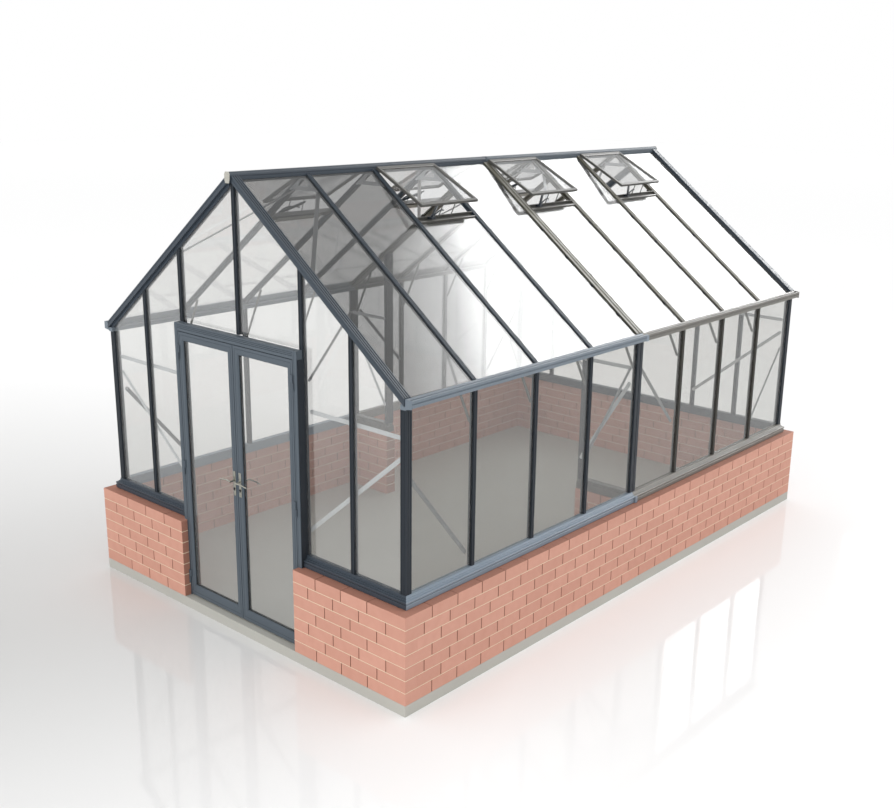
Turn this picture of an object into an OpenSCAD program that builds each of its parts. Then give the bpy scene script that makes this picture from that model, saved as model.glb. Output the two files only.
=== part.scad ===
// Glasshouse on a dwarf wall: aluminium frame, double doors, roof vents.
// Units mm. X across the gable, -Y is the door gable, +Z up, origin on the ground at the middle.

/* [Frame] */
// width over the side glazing bars
frame_w = 3062; // [2400:1:3800]
// spacing of the glazing bars along the sides
bay = 620; // [450:1:760]
// number of bays along each side
bays = 8; // [6:2:10]
// height of the roof surface over the side glazing
eaves_h = 1961; // [1880:1:2300]
// height where the two roof surfaces meet
ridge_h = 3140; // [2700:1:3500]

/* [Base] */
// thickness of the floor slab
slab_h = 75; // [50:1:150]
// height of the brick wall above the slab
wall_h = 586; // [350:1:800]
// thickness of the brick wall
wall_t = 105; // [90:1:160]
// brick face outside the side glazing
side_margin = 91; // [80:1:160]
// brick face outside the gable glazing
end_margin = 101; // [90:1:170]

/* [Sections] */
// height of the sill on the wall
sill_h = 80; // [50:1:110]
// sill face outside the glazing
sill_out = 28; // [10:1:40]
// square corner post
post = 48; // [40:1:70]
// width of a glazing bar
bar_w = 34; // [26:1:44]
// depth of a glazing bar
bar_d = 40; // [34:1:55]
// vertical depth of a roof bar
roof_d = 46; // [42:1:70]
// glass thickness
glass_t = 4; // [3:1:6]

/* [Doors] */
// clear width between the door jambs
door_w = 1184; // [900:1:1400]
// underside of the door head above the ground
door_h = 2054; // [1900:1:2150]
// width of a jamb
jamb = 36; // [28:1:50]
// thickness of a door leaf
leaf_t = 38; // [30:1:48]
// outer stile of a leaf
stile = 40; // [34:1:70]
// meeting stile of a leaf
meet = 54; // [48:1:80]
// height of the lever above the ground
lever_h = 1105; // [900:1:1150]
// length of a lever
lever_l = 118; // [90:1:140]

/* [Vents] */
// how far the vents stand open, degrees
vent_open = 9.5; // [4:0.5:20]
// length of a vent down the slope
vent_l = 500; // [400:1:620]

/* [Hidden] */
$fn = 32;

fx = frame_w / 2;
frame_l = bays * bay;
fy = frame_l / 2;
bx = fx + side_margin;
by = fy + end_margin;
wall_z = slab_h + wall_h;
sill_z = wall_z + sill_h;
slope = (ridge_h - eaves_h) / fx;
pitch = atan(slope);
sill_in = bar_d - 2;
gutter_top = eaves_h + 4;
gutter_z = eaves_h - roof_d + 6;
bar_top = gutter_z - 18;
bar_end = fx - 22;
verge_up = 14;
verge_down = roof_d + 12;
plate_top = ridge_h - 54;
jamb_x = door_w / 2;
jamb_out = jamb_x + jamb;
jamb_front = fy + 49;
post_x = jamb_out - 6;
mid_x = (post_x + fx - post / 2) / 2;
return_x = mid_x - bar_w / 2 - 8;
head_h = 56;
gap_x = jamb_x + 13;
rebate_x = post_x + bar_w / 2 + 2;
clear = 5;
leaf_z0 = slab_h + 10;
leaf_z1 = door_h - clear;
leaf_x0 = 2.5;
leaf_x1 = jamb_x - clear;
leaf_y1 = -jamb_front + leaf_t;
rail_top = 60;
rail_bot = 80;
hinge_x = jamb_x - 2.5;
hinge_y = -jamb_front - 7;
hinge_r = 7;
lever_x = 30;
plate_w = 24;
plate_h = 175;
plate_t = 5;
spindle_r = 6;
lever_out = 45;
glass_in = 14;
cap_t = 10;
web = 8;
vent_x0 = 38;
vent_t = 20;
vent_a = pitch - vent_open;
vent_z0 = ridge_h - slope * (vent_x0 - vent_t * sin(vent_a)) + vent_t * cos(vent_a) + 1;
vent_x1 = vent_x0 + vent_l * cos(vent_a);
rail_x0 = vent_x1 - 52;
rail_x1 = vent_x1 - 14;
ridge_side = 24;

RAL = [0.17, 0.19, 0.21];
GREY = [0.30, 0.33, 0.36];
SILVER = [0.72, 0.74, 0.76];
GLASS = [0.80, 0.86, 0.86, 0.35];
BRICK = [0.82, 0.55, 0.46];

// roof surface height over x, and the height of the underside of the roof bars
function roof(x) = ridge_h - slope * abs(x);
function under(x) = roof(x) - roof_d;
function verge(x) = roof(x) - verge_down;
function plate(x) = roof(x) - glass_in - glass_t - 2;
function vent_under(x) = vent_z0 - (x - vent_x0) * tan(vent_a) - vent_t / cos(vent_a);
function ypos(k) = -fy + k * bay;
// strip of width w from p to q, as four points
function strip(p, q, w) = let (d = q - p, n = [-d[1], d[0]] / norm(d) * w / 2)
  [p - n, q - n, q + n, p + n];

// prism with its outline in X and Z, from y0 to y0 + w
module xz(pts, y0, w) {
  translate([0, y0 + w, 0]) rotate([90, 0, 0]) linear_extrude(w) polygon(pts);
}

// prism with its outline in Y and Z, from x0 to x0 + t
module yz(pts, x0, t) {
  translate([x0, 0, 0]) rotate([90, 0, 90]) linear_extrude(t) polygon(pts);
}

module box(a, b) {
  translate(a) cube(b - a);
}

// the roof band between the drops a and b below the surface, from x0 to x1
module slope_band(x0, x1, a, b, y0, w) {
  xz([[x0, roof(x0) - b], [x1, roof(x1) - b], [x1, roof(x1) - a], [x0, roof(x0) - a]], y0, w);
}

module floor_slab() color([0.80, 0.80, 0.76]) {
  box([-bx, -by, 0], [bx, by, slab_h]);
}

module brick_front_right() color(BRICK) {
  difference() {
    box([gap_x, -by, slab_h], [bx, -by + wall_t, wall_z]);
    box([gap_x - 10, -jamb_front - 4, slab_h - 10], [rebate_x, -by + wall_t + 10, wall_z + 10]);
  }
}

module brick_front_left() mirror([1, 0, 0]) brick_front_right();

module brick_side_right() color(BRICK) {
  box([bx - wall_t, -by + wall_t, slab_h], [bx, by - wall_t, wall_z]);
}

module brick_side_left() mirror([1, 0, 0]) brick_side_right();

module brick_rear() color(BRICK) {
  box([-bx, by - wall_t, slab_h], [bx, by, wall_z]);
}

// sill section: outward distance from the glazing face and height
function sill_pts() = [[-sill_in, wall_z], [sill_out, wall_z], [sill_out, wall_z + sill_h * 0.62],
  [sill_out - 9, wall_z + sill_h * 0.72], [6, wall_z + sill_h * 0.80], [2, sill_z], [-sill_in, sill_z]];

// sill along a gable from x0 to the mitre at the corner
module sill_end(x0) {
  intersection() {
    yz([for (p = sill_pts()) [-fy - p[0], p[1]]], x0, fx + sill_out - x0);
    translate([0, 0, wall_z]) linear_extrude(sill_h) polygon([[x0, -fy - sill_out],
      [fx + sill_out, -fy - sill_out], [fx - sill_in, -fy + sill_in], [x0, -fy + sill_in]]);
  }
}

module sill_front() color(RAL) {
  sill_end(post_x + bar_w / 2);
  mirror([1, 0, 0]) sill_end(post_x + bar_w / 2);
}

module sill_rear() color(RAL) mirror([0, 1, 0]) {
  union() {
    sill_end(0);
    mirror([1, 0, 0]) sill_end(0);
  }
}

module sill_right() color(RAL) {
  intersection() {
    xz([for (p = sill_pts()) [fx + p[0], p[1]]], -fy - sill_out, frame_l + 2 * sill_out);
    translate([0, 0, wall_z]) linear_extrude(sill_h) polygon([[fx - sill_in, -fy + sill_in],
      [fx + sill_out, -fy - sill_out], [fx + sill_out, fy + sill_out], [fx - sill_in, fy - sill_in]]);
  }
}

module sill_left() mirror([1, 0, 0]) sill_right();

module corner_posts() color(RAL) {
  for (sx = [0, 1]) for (sy = [0, 1])
    mirror([sx, 0, 0]) mirror([0, sy, 0])
      box([fx - post, -fy, sill_z], [fx, -fy + post, bar_top]);
}

// upright glazing bar for a side wall, centred on y
module side_bar(y) {
  union() {
    box([fx - bar_d, y - bar_w / 2, sill_z], [fx - glass_in - glass_t - 1, y + bar_w / 2, bar_top]);
    box([fx - bar_d, y - web / 2, sill_z], [fx, y + web / 2, bar_top]);
    box([fx - cap_t, y - bar_w / 2 + 2, sill_z], [fx, y + bar_w / 2 - 2, bar_top]);
  }
}

// bar positions along each side, with a pair of bars at the middle
single_bars = [for (k = [1 : bays - 1]) if (k != bays / 2) ypos(k)];
mid_pair = [-bar_w / 2 - 4, bar_w / 2 + 4];

module side_bars_right() color(RAL) {
  for (y = concat(single_bars, mid_pair)) side_bar(y);
}

module side_bars_left() mirror([1, 0, 0]) side_bars_right();

// one layer of a gable bar, cut to the slope of the roof
module gable_layer(x, w, z0, y0, y1) {
  xz([[x - w / 2, z0], [x + w / 2, z0], [x + w / 2, verge(x + w / 2) - 0.5],
    if (x == 0) [0, verge(0) - 0.5], [x - w / 2, verge(x - w / 2) - 0.5]], y0, y1 - y0);
}

module gable_bar(x, z0) {
  union() {
    gable_layer(x, bar_w, z0, -fy + glass_in + glass_t + 1, -fy + bar_d);
    gable_layer(x, web, z0, -fy, -fy + bar_d);
    gable_layer(x, bar_w - 4, z0, -fy, -fy + cap_t);
  }
}

module gable_bars_front() color(RAL) {
  for (s = [-1, 1]) {
    gable_bar(s * post_x, slab_h);
    gable_bar(s * mid_x, sill_z);
  }
  gable_bar(0, door_h + head_h);
}

module gable_bars_rear() color(RAL) mirror([0, 1, 0]) {
  for (s = [-1, 1]) {
    gable_bar(s * post_x, sill_z);
    gable_bar(s * mid_x, sill_z);
  }
  gable_bar(0, sill_z);
}

// eaves beam, with the floor and the front of the gutter beside it
module gutter_right() color(GREY) {
  xz([[fx - bar_d, bar_top], [fx + 8, bar_top], [fx + 8, gutter_z], [fx + 14, gutter_z],
    [fx + 14, eaves_h + 4], [fx, eaves_h + 11], [fx, gutter_z - 5], [fx - bar_d, gutter_z + 12]],
    -fy - 12, frame_l + 24);
  box([fx + 14.3, -fy - 12, gutter_z], [fx + 47.7, fy + 12, gutter_z + 6]);
  box([fx + 48, -fy - 12, gutter_z], [fx + 54, fy + 12, gutter_top]);
}

module gutter_left() mirror([1, 0, 0]) gutter_right();

module ridge() color(RAL) {
  xz([[-16, ridge_h - 52], [16, ridge_h - 52], [ridge_side, ridge_h - 26], [ridge_side, ridge_h + 4],
    [14, ridge_h + 18], [-14, ridge_h + 18], [-ridge_side, ridge_h + 4], [-ridge_side, ridge_h - 26]],
    -fy - 30, frame_l + 60);
}

module ridge_end_caps() color([0.80, 0.79, 0.76]) {
  for (s = [0, 1]) mirror([0, s, 0])
    xz([[-17, ridge_h - 53], [17, ridge_h - 53], [25, ridge_h - 27], [25, ridge_h + 5],
      [15, ridge_h + 20], [-15, ridge_h + 20], [-25, ridge_h + 5], [-25, ridge_h - 27]], -fy - 36, 6);
}

// gable edge of one slope, cut to sit on the eaves beam
module verge_right() {
  xz([[ridge_side + 1, verge(ridge_side + 1)], [fx - bar_d - 1, verge(fx - bar_d - 1)],
    [fx - 1, gutter_z - 3], [fx - 1, roof(fx - 1) + verge_up],
    [ridge_side + 1, roof(ridge_side + 1) + verge_up]], -fy - 20, 60);
}

module verge_bars_front() color(RAL) {
  verge_right();
  mirror([1, 0, 0]) verge_right();
}

module verge_bars_rear() mirror([0, 1, 0]) verge_bars_front();

// sloping roof bar with its middle at y
module roof_bar(y) {
  union() {
    slope_band(ridge_side, bar_end, glass_in + glass_t + 8, roof_d, y - bar_w / 2, bar_w);
    slope_band(ridge_side, bar_end, 0, roof_d, y - web / 2, web);
    slope_band(ridge_side, bar_end, 0, cap_t, y - bar_w / 2 + 2, bar_w - 4);
  }
}

module roof_bars_right() color(RAL) {
  for (y = concat(single_bars, mid_pair)) roof_bar(y);
}

module roof_bars_left() mirror([1, 0, 0]) roof_bars_right();

// pane edges of bay k, measured along Y
function pane0(k, edge) = k == 0 ? -fy + edge : ypos(k) + (k == bays / 2 ? bar_w / 2 + 9 : 5);
function pane1(k, edge) = k == bays - 1 ? fy - edge
  : ypos(k + 1) - (k + 1 == bays / 2 ? bar_w / 2 + 9 : 5);

module glass_side_right() color(GLASS) {
  for (k = [0 : bays - 1])
    box([fx - glass_in - glass_t, pane0(k, post + 1), sill_z + 1],
      [fx - glass_in, pane1(k, post + 1), bar_top - 1]);
}

module glass_side_left() mirror([1, 0, 0]) glass_side_right();

// pane of the front gable between x0 and x1, from z0 up to the verge
module gable_pane(x0, x1, z0) {
  xz([[x0, z0], [x1, z0], [x1, verge(x1) - 1], [x0, verge(x0) - 1]], -fy + glass_in, glass_t);
}

module glass_front() color(GLASS) {
  for (s = [0, 1]) mirror([s, 0, 0]) {
    gable_pane(mid_x + 5, fx - post - 1, sill_z + 1);
    gable_pane(post_x + 5, mid_x - 5, sill_z + 1);
    gable_pane(5, post_x - 5, door_h + head_h + 1);
  }
}

module glass_rear() color(GLASS) mirror([0, 1, 0]) {
  for (s = [0, 1]) mirror([s, 0, 0]) {
    gable_pane(mid_x + 5, fx - post - 1, sill_z + 1);
    gable_pane(post_x + 5, mid_x - 5, sill_z + 1);
    gable_pane(5, post_x - 5, sill_z + 1);
  }
}

// bays with a vent on the right slope are first = 0, on the left slope first = 1
function vent_bay(k, first) = k % 2 == first && k > 0 && k < bays - 1;

// panes of one slope, shortened under the vents
module roof_panes(first) {
  for (k = [0 : bays - 1])
    slope_band(vent_bay(k, first) ? rail_x1 + 1 : ridge_side + 2, fx - 2,
      glass_in, glass_in + glass_t + 1, pane0(k, 41), pane1(k, 41) - pane0(k, 41));
}

module glass_roof_right() color(GLASS) roof_panes(0);

module glass_roof_left() color(GLASS) mirror([1, 0, 0]) roof_panes(1);

// places its child in each vent bay, on the right slope and then on the left
module vent_places() {
  for (k = [0 : bays - 1])
    if (vent_bay(k, 0)) translate([0, ypos(k) + bay / 2, 0]) children();
  for (k = [0 : bays - 1])
    if (vent_bay(k, 1)) translate([0, ypos(k) + bay / 2, 0]) mirror([1, 0, 0]) children();
}

// band in the plane of an open vent, from a to b along it, between the depths c and d
module vent_band(a, b, c, d, w) {
  translate([vent_x0, 0, vent_z0]) rotate([0, vent_a, 0]) box([a, -w / 2, -d], [b, w / 2, -c]);
}

vent_w = bay - 4 - 2 * (bar_w / 2 + 4) + 24;

module vent_frames() color(RAL) vent_places() {
  difference() {
    vent_band(0, vent_l, 0, vent_t, vent_w);
    vent_band(26, vent_l - 26, -5, vent_t + 5, vent_w - 44);
  }
}

module vent_glass() color(GLASS) vent_places() {
  vent_band(26.5, vent_l - 26.5, 8, 8 + glass_t, vent_w - 45);
}

// cross rail between the roof bars under the foot of a vent, in bay k
module vent_rail(k) {
  slope_band(rail_x0, rail_x1, -2, 30, pane0(k, 41) + 13, pane1(k, 41) - pane0(k, 41) - 26);
}

module vent_rails() color(RAL) {
  for (k = [0 : bays - 1]) {
    if (vent_bay(k, 0)) vent_rail(k);
    if (vent_bay(k, 1)) mirror([1, 0, 0]) vent_rail(k);
  }
}

// stay bar on the rail, under the middle of the vent's lower edge
module vent_stays() color(SILVER) vent_places() {
  xz([[rail_x0 + 14, roof(rail_x0 + 14) + 2.5], [rail_x0 + 26, roof(rail_x0 + 26) + 2.5],
    [rail_x0 + 34, vent_under(rail_x0 + 34) - 1], [rail_x0 + 16, vent_under(rail_x0 + 16) - 1],
    [rail_x0 + 4, roof(rail_x0) + 40]], -6, 12);
}

module knee_right(y) {
  xz(strip([fx - bar_d - 11, bar_top - 215], [fx - bar_d - 206, under(fx - bar_d - 206) - 14], 22),
    y - 2, 4);
}

module knee_braces() color(SILVER) {
  for (s = [0, 1]) mirror([s, 0, 0])
    for (y = concat(single_bars, [0])) knee_right(y);
}

module ridge_gussets() color(SILVER) {
  for (y = concat(single_bars, [-bar_w / 2 - 4]))
    difference() {
      xz([[-150, plate(150)], [150, plate(150)], [34, plate_top], [-34, plate_top]],
        y - bar_w / 2 - 4, 3);
      intersection() {
        translate([0, y, roof(150) + 2]) rotate([90, 0, 0]) cylinder(r = 52, h = 100, center = true);
        box([-80, y - 50, roof(150) + 8], [80, y + 50, ridge_h]);
      }
    }
}

// flat diagonal under the roof bars, its ends given as distance down the slope and Y
module roof_brace(p, q) {
  translate([0, 0, ridge_h - roof_d - 5]) rotate([0, pitch, 0])
    linear_extrude(3) polygon(strip(p, q, 25));
}

module roof_braces() color(SILVER) {
  for (sx = [0, 1]) for (sy = [0, 1]) mirror([sx, 0, 0]) mirror([0, sy, 0]) {
    roof_brace([150, -fy + bay], [860, -fy + 58]);
    roof_brace([150, -bay], [860, -24]);
  }
}

// returns of the dwarf wall at the middle, each with a sill and a post up to the roof bars
module mid_walls() color(BRICK) {
  for (s = [0, 1]) mirror([s, 0, 0])
    box([return_x, -wall_t / 2, slab_h], [bx - wall_t, wall_t / 2, wall_z]);
}

module mid_sills() color(RAL) {
  for (s = [0, 1]) mirror([s, 0, 0])
    box([return_x, -bar_w - 4, wall_z], [fx - sill_in, bar_w + 4, sill_z]);
}

module mid_posts() color(RAL) {
  for (s = [0, 1]) mirror([s, 0, 0])
    difference() {
      box([mid_x - bar_w / 2, -bar_w - 4, sill_z], [mid_x + bar_w / 2, bar_w + 4, ridge_h]);
      xz([[0, under(0) - 0.5], [fx, under(fx) - 0.5], [fx, ridge_h + 50], [0, ridge_h + 50]],
        -bay, 2 * bay);
    }
}

brace_x = fx - bar_d - 4;
brace_y = fy - bar_d - 4;

module side_brace(p, q) yz(strip(p, q, 25), brace_x, 3);

module end_brace(p, q) xz(strip(p, q, 25), -brace_y - 3, 3);

module mid_brace(p, q) xz(strip(p, q, 25), -bar_w - 8, 3);

module wall_braces() color(SILVER) {
  for (sx = [0, 1]) for (sy = [0, 1]) mirror([sx, 0, 0]) mirror([0, sy, 0]) {
    side_brace([-fy + 70, sill_z + 720], [ypos(1) - 29, sill_z + 84]);
    side_brace([-50, sill_z + 980], [-bay + 40, sill_z + 420]);
    end_brace([fx - post, sill_z + 969], [post_x + 30, sill_z + 969]);
    end_brace([fx - post - 10, sill_z + 859], [post_x + 5, sill_z + 156]);
  }
  for (s = [0, 1]) mirror([s, 0, 0]) {
    mid_brace([fx - bar_d, sill_z + 969], [mid_x, sill_z + 969]);
    mid_brace([fx - bar_d - 9, sill_z + 859], [mid_x + 4, sill_z + 170]);
  }
}

// one half of a hinge barrel, standing on z
module knuckle(x, y, z, h) translate([x, y, z]) cylinder(r = hinge_r, h = h);

// jambs and head round the two leaves, with the fixed half of each hinge
module door_frame() color(GREY) {
  union() {
    for (s = [0, 1]) mirror([s, 0, 0]) {
      box([jamb_x, -jamb_front, slab_h], [jamb_out, -fy - 1, door_h + head_h]);
      for (z = [slab_h + 150, (slab_h + door_h) / 2, door_h - 150]) {
        knuckle(hinge_x, hinge_y, z - 51, 50);
        box([hinge_x, hinge_y - 3, z - 51], [jamb_x + 12, -jamb_front + 1, z - 1]);
      }
    }
    box([-jamb_x - 1, -jamb_front, door_h], [jamb_x + 1, -fy - 1, door_h + head_h]);
  }
}

module leaf_right() {
  difference() {
    union() {
      box([leaf_x0, -jamb_front, leaf_z0], [leaf_x1, leaf_y1, leaf_z1]);
      for (z = [slab_h + 150, (slab_h + door_h) / 2, door_h - 150]) {
        knuckle(hinge_x, hinge_y, z, 50);
        box([leaf_x1 - 14, hinge_y - 3, z], [hinge_x, -jamb_front + 1, z + 50]);
      }
    }
    box([leaf_x0 + meet, -jamb_front - 10, leaf_z0 + rail_bot],
      [leaf_x1 - stile, leaf_y1 + 10, leaf_z1 - rail_top]);
    translate([lever_x, -jamb_front - 10, lever_h]) rotate([-90, 0, 0])
      cylinder(r = spindle_r + 1.5, h = leaf_t + 20);
  }
}

module door_leaf_right() color(GREY) leaf_right();

module door_leaf_left() color(GREY) mirror([1, 0, 0]) leaf_right();

module pane_right() {
  box([leaf_x0 + meet + 0.5, -jamb_front + 19, leaf_z0 + rail_bot + 0.5],
    [leaf_x1 - stile - 0.5, -jamb_front + 19 + glass_t, leaf_z1 - rail_top - 0.5]);
}

module door_glass_right() color(GLASS) pane_right();

module door_glass_left() color(GLASS) mirror([1, 0, 0]) pane_right();

module plates_right() {
  for (y = [-jamb_front - plate_t, leaf_y1])
    difference() {
      box([lever_x - plate_w / 2, y, lever_h - plate_h * 0.62],
        [lever_x + plate_w / 2, y + plate_t, lever_h + plate_h * 0.38]);
      translate([lever_x, y - 5, lever_h]) rotate([-90, 0, 0])
        cylinder(r = spindle_r + 1.5, h = plate_t + 10);
    }
}

module handle_plates_right() color([0.75, 0.75, 0.74]) plates_right();

module handle_plates_left() color([0.75, 0.75, 0.74]) mirror([1, 0, 0]) plates_right();

module handle_right() {
  union() {
    translate([lever_x, -jamb_front - lever_out, lever_h]) rotate([-90, 0, 0])
      cylinder(r = spindle_r, h = leaf_t + 2 * lever_out);
    for (y = [-jamb_front - lever_out + 6, leaf_y1 + lever_out - 6])
      translate([lever_x, y, lever_h]) rotate([0, 90, 0]) cylinder(r = spindle_r, h = lever_l);
  }
}

module lever_right() color([0.78, 0.78, 0.76]) handle_right();

module lever_left() color([0.78, 0.78, 0.76]) mirror([1, 0, 0]) handle_right();

floor_slab();
brick_front_left();
brick_front_right();
brick_side_left();
brick_side_right();
brick_rear();
sill_front();
sill_rear();
sill_left();
sill_right();
corner_posts();
side_bars_left();
side_bars_right();
gable_bars_front();
gable_bars_rear();
gutter_left();
gutter_right();
ridge();
ridge_end_caps();
verge_bars_front();
verge_bars_rear();
roof_bars_left();
roof_bars_right();
glass_side_left();
glass_side_right();
glass_front();
glass_rear();
glass_roof_left();
glass_roof_right();
vent_frames();
vent_glass();
vent_rails();
vent_stays();
knee_braces();
ridge_gussets();
wall_braces();
roof_braces();
mid_walls();
mid_sills();
mid_posts();
door_frame();
door_leaf_left();
door_leaf_right();
door_glass_left();
door_glass_right();
handle_plates_left();
handle_plates_right();
lever_left();
lever_right();
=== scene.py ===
import math
import random

import bmesh
import bpy
from mathutils import Matrix, Vector


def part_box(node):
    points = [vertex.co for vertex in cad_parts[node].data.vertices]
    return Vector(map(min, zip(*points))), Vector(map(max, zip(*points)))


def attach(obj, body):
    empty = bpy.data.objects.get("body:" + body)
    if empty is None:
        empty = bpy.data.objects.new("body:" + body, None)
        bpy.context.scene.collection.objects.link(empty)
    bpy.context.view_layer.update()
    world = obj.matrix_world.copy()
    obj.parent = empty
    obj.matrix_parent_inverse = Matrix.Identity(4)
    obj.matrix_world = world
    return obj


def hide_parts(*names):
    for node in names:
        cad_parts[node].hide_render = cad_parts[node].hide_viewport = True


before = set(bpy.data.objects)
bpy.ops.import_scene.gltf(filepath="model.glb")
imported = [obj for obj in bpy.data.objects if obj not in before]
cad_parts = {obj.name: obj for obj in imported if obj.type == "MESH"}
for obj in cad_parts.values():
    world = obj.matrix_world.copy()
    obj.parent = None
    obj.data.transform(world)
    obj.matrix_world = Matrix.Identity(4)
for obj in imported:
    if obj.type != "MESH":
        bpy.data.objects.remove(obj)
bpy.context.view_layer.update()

MM = 0.001
ROOT = "glasshouse"
UP = Vector((0, 0, 1))
EAST = Vector((1, 0, 0))
NORTH = Vector((0, 1, 0))

# Sizes, read from the CAD nodes or matched to them.
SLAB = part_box("floor_slab")
WALL_X, WALL_Y = SLAB[1].x, SLAB[1].y
SLAB_TOP = SLAB[1].z
WALL_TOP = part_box("brick_side_right")[1].z
WALL_T = WALL_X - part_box("brick_side_right")[0].x
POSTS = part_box("corner_posts")
GLAZE_X, GLAZE_Y = POSTS[1].x, POSTS[1].y
SILL_TOP, BAR_TOP = POSTS[0].z, POSTS[1].z
SILL_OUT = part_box("sill_right")[1].x - GLAZE_X
BAYS = 8
BAY = 2 * GLAZE_Y / BAYS
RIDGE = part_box("ridge")
ROOF_DEPTH = 46 * MM
ROOF_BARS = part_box("roof_bars_right")
SLOPE = (ROOF_BARS[1].z - ROOF_BARS[0].z - ROOF_DEPTH) / (ROOF_BARS[1].x - ROOF_BARS[0].x)
PITCH = math.atan(SLOPE)
APEX = ROOF_BARS[1].z + SLOPE * ROOF_BARS[0].x
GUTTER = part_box("gutter_right")
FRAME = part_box("door_frame")
JAMB_OUT = FRAME[1].x
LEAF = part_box("door_leaf_right")
DOOR_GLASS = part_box("door_glass_right")
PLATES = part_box("handle_plates_right")
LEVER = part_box("lever_right")
WALL_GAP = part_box("brick_front_right")[0].x
DOOR_POST_X = JAMB_OUT - 6 * MM
# Glazing bars: across, in from the glazing face, and the foot let into the sill.
BAR_W = 34 * MM
BAR_D = 40 * MM
BAR_FOOT = SILL_TOP - 2 * MM
# Y places of the single bars. The middle place has a doubled one.
SINGLES = [-GLAZE_Y + k * BAY for k in range(1, BAYS) if k != BAYS // 2]
MID_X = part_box("mid_posts")[1].x - BAR_W / 2
RETURN_END = MID_X - BAR_W / 2 - 8 * MM
# Outer face of the doors, and the clearance round a leaf.
FACE_Y = -(GLAZE_Y + 49 * MM)
LEAF_GAP = 5 * MM
HEAD_BOTTOM = LEAF[1].z + LEAF_GAP
# Vents, which stand open at a flatter angle than the roof, and the rails under their feet.
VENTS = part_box("vent_frames")
VENT_TILT = PITCH - math.radians(9.5)
VENT_LONG = 500 * MM
VENT_WIDE = BAY - 22 * MM
VENT_X0 = VENTS[1].x - VENT_LONG * math.cos(VENT_TILT)
RAIL_X0, RAIL_X1 = VENTS[1].x - 52 * MM, VENTS[1].x - 14 * MM
# Planes of the flat braces, just inside the bars.
BRACE_X, BRACE_Y = GLAZE_X - BAR_D - 4 * MM, GLAZE_Y - BAR_D - 4 * MM
STRAP_THICK = 3
# Half the gap where the front and rear lengths of a member meet.
HALF_GAP = 0.5 * MM
TINY = 1e-6
SHARP_ANGLE = math.radians(32)


def roof_z(x):
    """Height of the roof surface over x."""
    return APEX - SLOPE * abs(x)


# --- Shaders -------------------------------------------------------------------------------


class Value:
    """A number that varies over a surface. Python's operators on it add Math nodes."""

    def __init__(self, finish, socket):
        self.finish, self.socket = finish, socket

    def math(self, operation, first, second):
        node = self.finish.node("ShaderNodeMath", {"operation": operation}, [first, second])
        return Value(self.finish, node.outputs[0])

    def __add__(self, other):
        return self.math("ADD", self, other)

    def __sub__(self, other):
        return self.math("SUBTRACT", self, other)

    def __rsub__(self, other):
        return self.math("SUBTRACT", other, self)

    def __mul__(self, other):
        return self.math("MULTIPLY", self, other)

    def __pow__(self, other):
        return self.math("POWER", self, other)

    __radd__ = __add__
    __rmul__ = __mul__


class Finish:
    """One material, built node by node round a Principled shader."""

    def __init__(self, name, **plain):
        self.material = bpy.data.materials.new(name)
        self.material.use_nodes = True
        self.tree = self.material.node_tree
        self.shader = self.tree.nodes["Principled BSDF"]
        self.output = self.tree.nodes["Material Output"]
        for socket, value in plain.items():
            self.shader.inputs[socket.replace("_", " ")].default_value = value
        self.place = self.node("ShaderNodeTexCoord").outputs["Object"]

    def node(self, kind, settings=None, values=()):
        """Adds a node: its settings first, then the values or links of its sockets."""
        node = self.tree.nodes.new(kind)
        for key, value in (settings or {}).items():
            setattr(node, key, value)
        pairs = values.items() if isinstance(values, dict) else enumerate(values)
        for key, value in pairs:
            self.feed(node.inputs[key], value)
        return node

    def feed(self, socket, value):
        if isinstance(value, Value):
            value = value.socket
        if isinstance(value, bpy.types.NodeSocket):
            self.tree.links.new(value, socket)
        else:
            socket.default_value = value

    def noise(self, scale, detail=3.0, stretch=(1, 1, 1)):
        where = self.node("ShaderNodeMapping", {}, {"Vector": self.place, "Scale": stretch})
        node = self.node("ShaderNodeTexNoise", {},
                         {"Vector": where.outputs[0], "Scale": scale, "Detail": detail})
        return Value(self, node.outputs[0])

    def axis(self, letter):
        node = self.node("ShaderNodeSeparateXYZ", {}, {"Vector": self.place})
        return Value(self, node.outputs[letter])

    def attribute(self, name):
        node = self.node("ShaderNodeAttribute", {"attribute_name": name})
        return Value(self, node.outputs["Fac"])

    def mix(self, amount, low, high):
        node = self.node("ShaderNodeMix", {"data_type": "RGBA"},
                         {"Factor": amount, 6: low, 7: high})
        return node.outputs[2]

    def bump(self, height, distance, strength=1.0):
        node = self.node("ShaderNodeBump", {},
                         {"Height": height, "Distance": distance, "Strength": strength})
        self.set("Normal", node.outputs[0])

    def set(self, socket, value):
        self.feed(self.shader.inputs[socket], value)


def srgb(red, green, blue):
    """Linear colour of a paint named by its display values."""
    return tuple(((c / 255 + 0.055) / 1.055) ** 2.4 for c in (red, green, blue)) + (1.0,)


def coated_metal(name, dark, light, roughness=0.42, gloss=0.2):
    """Powder-coated aluminium: fine orange peel, a slow drift in tone, rubbed patches."""
    f = Finish(name, Specular_IOR_Level=gloss)
    drift = f.noise(2.2, 4.0, (1, 1, 0.4))
    grain = f.noise(900.0, 2.0)
    rubbed = f.noise(14.0)
    f.set("Base Color", f.mix(drift * 0.6 + grain * 0.25 + rubbed * 0.15, dark, light))
    f.set("Roughness", roughness + 0.2 * (rubbed - 0.5))
    f.bump(grain, 0.0002, 0.35)
    return f.material


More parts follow.
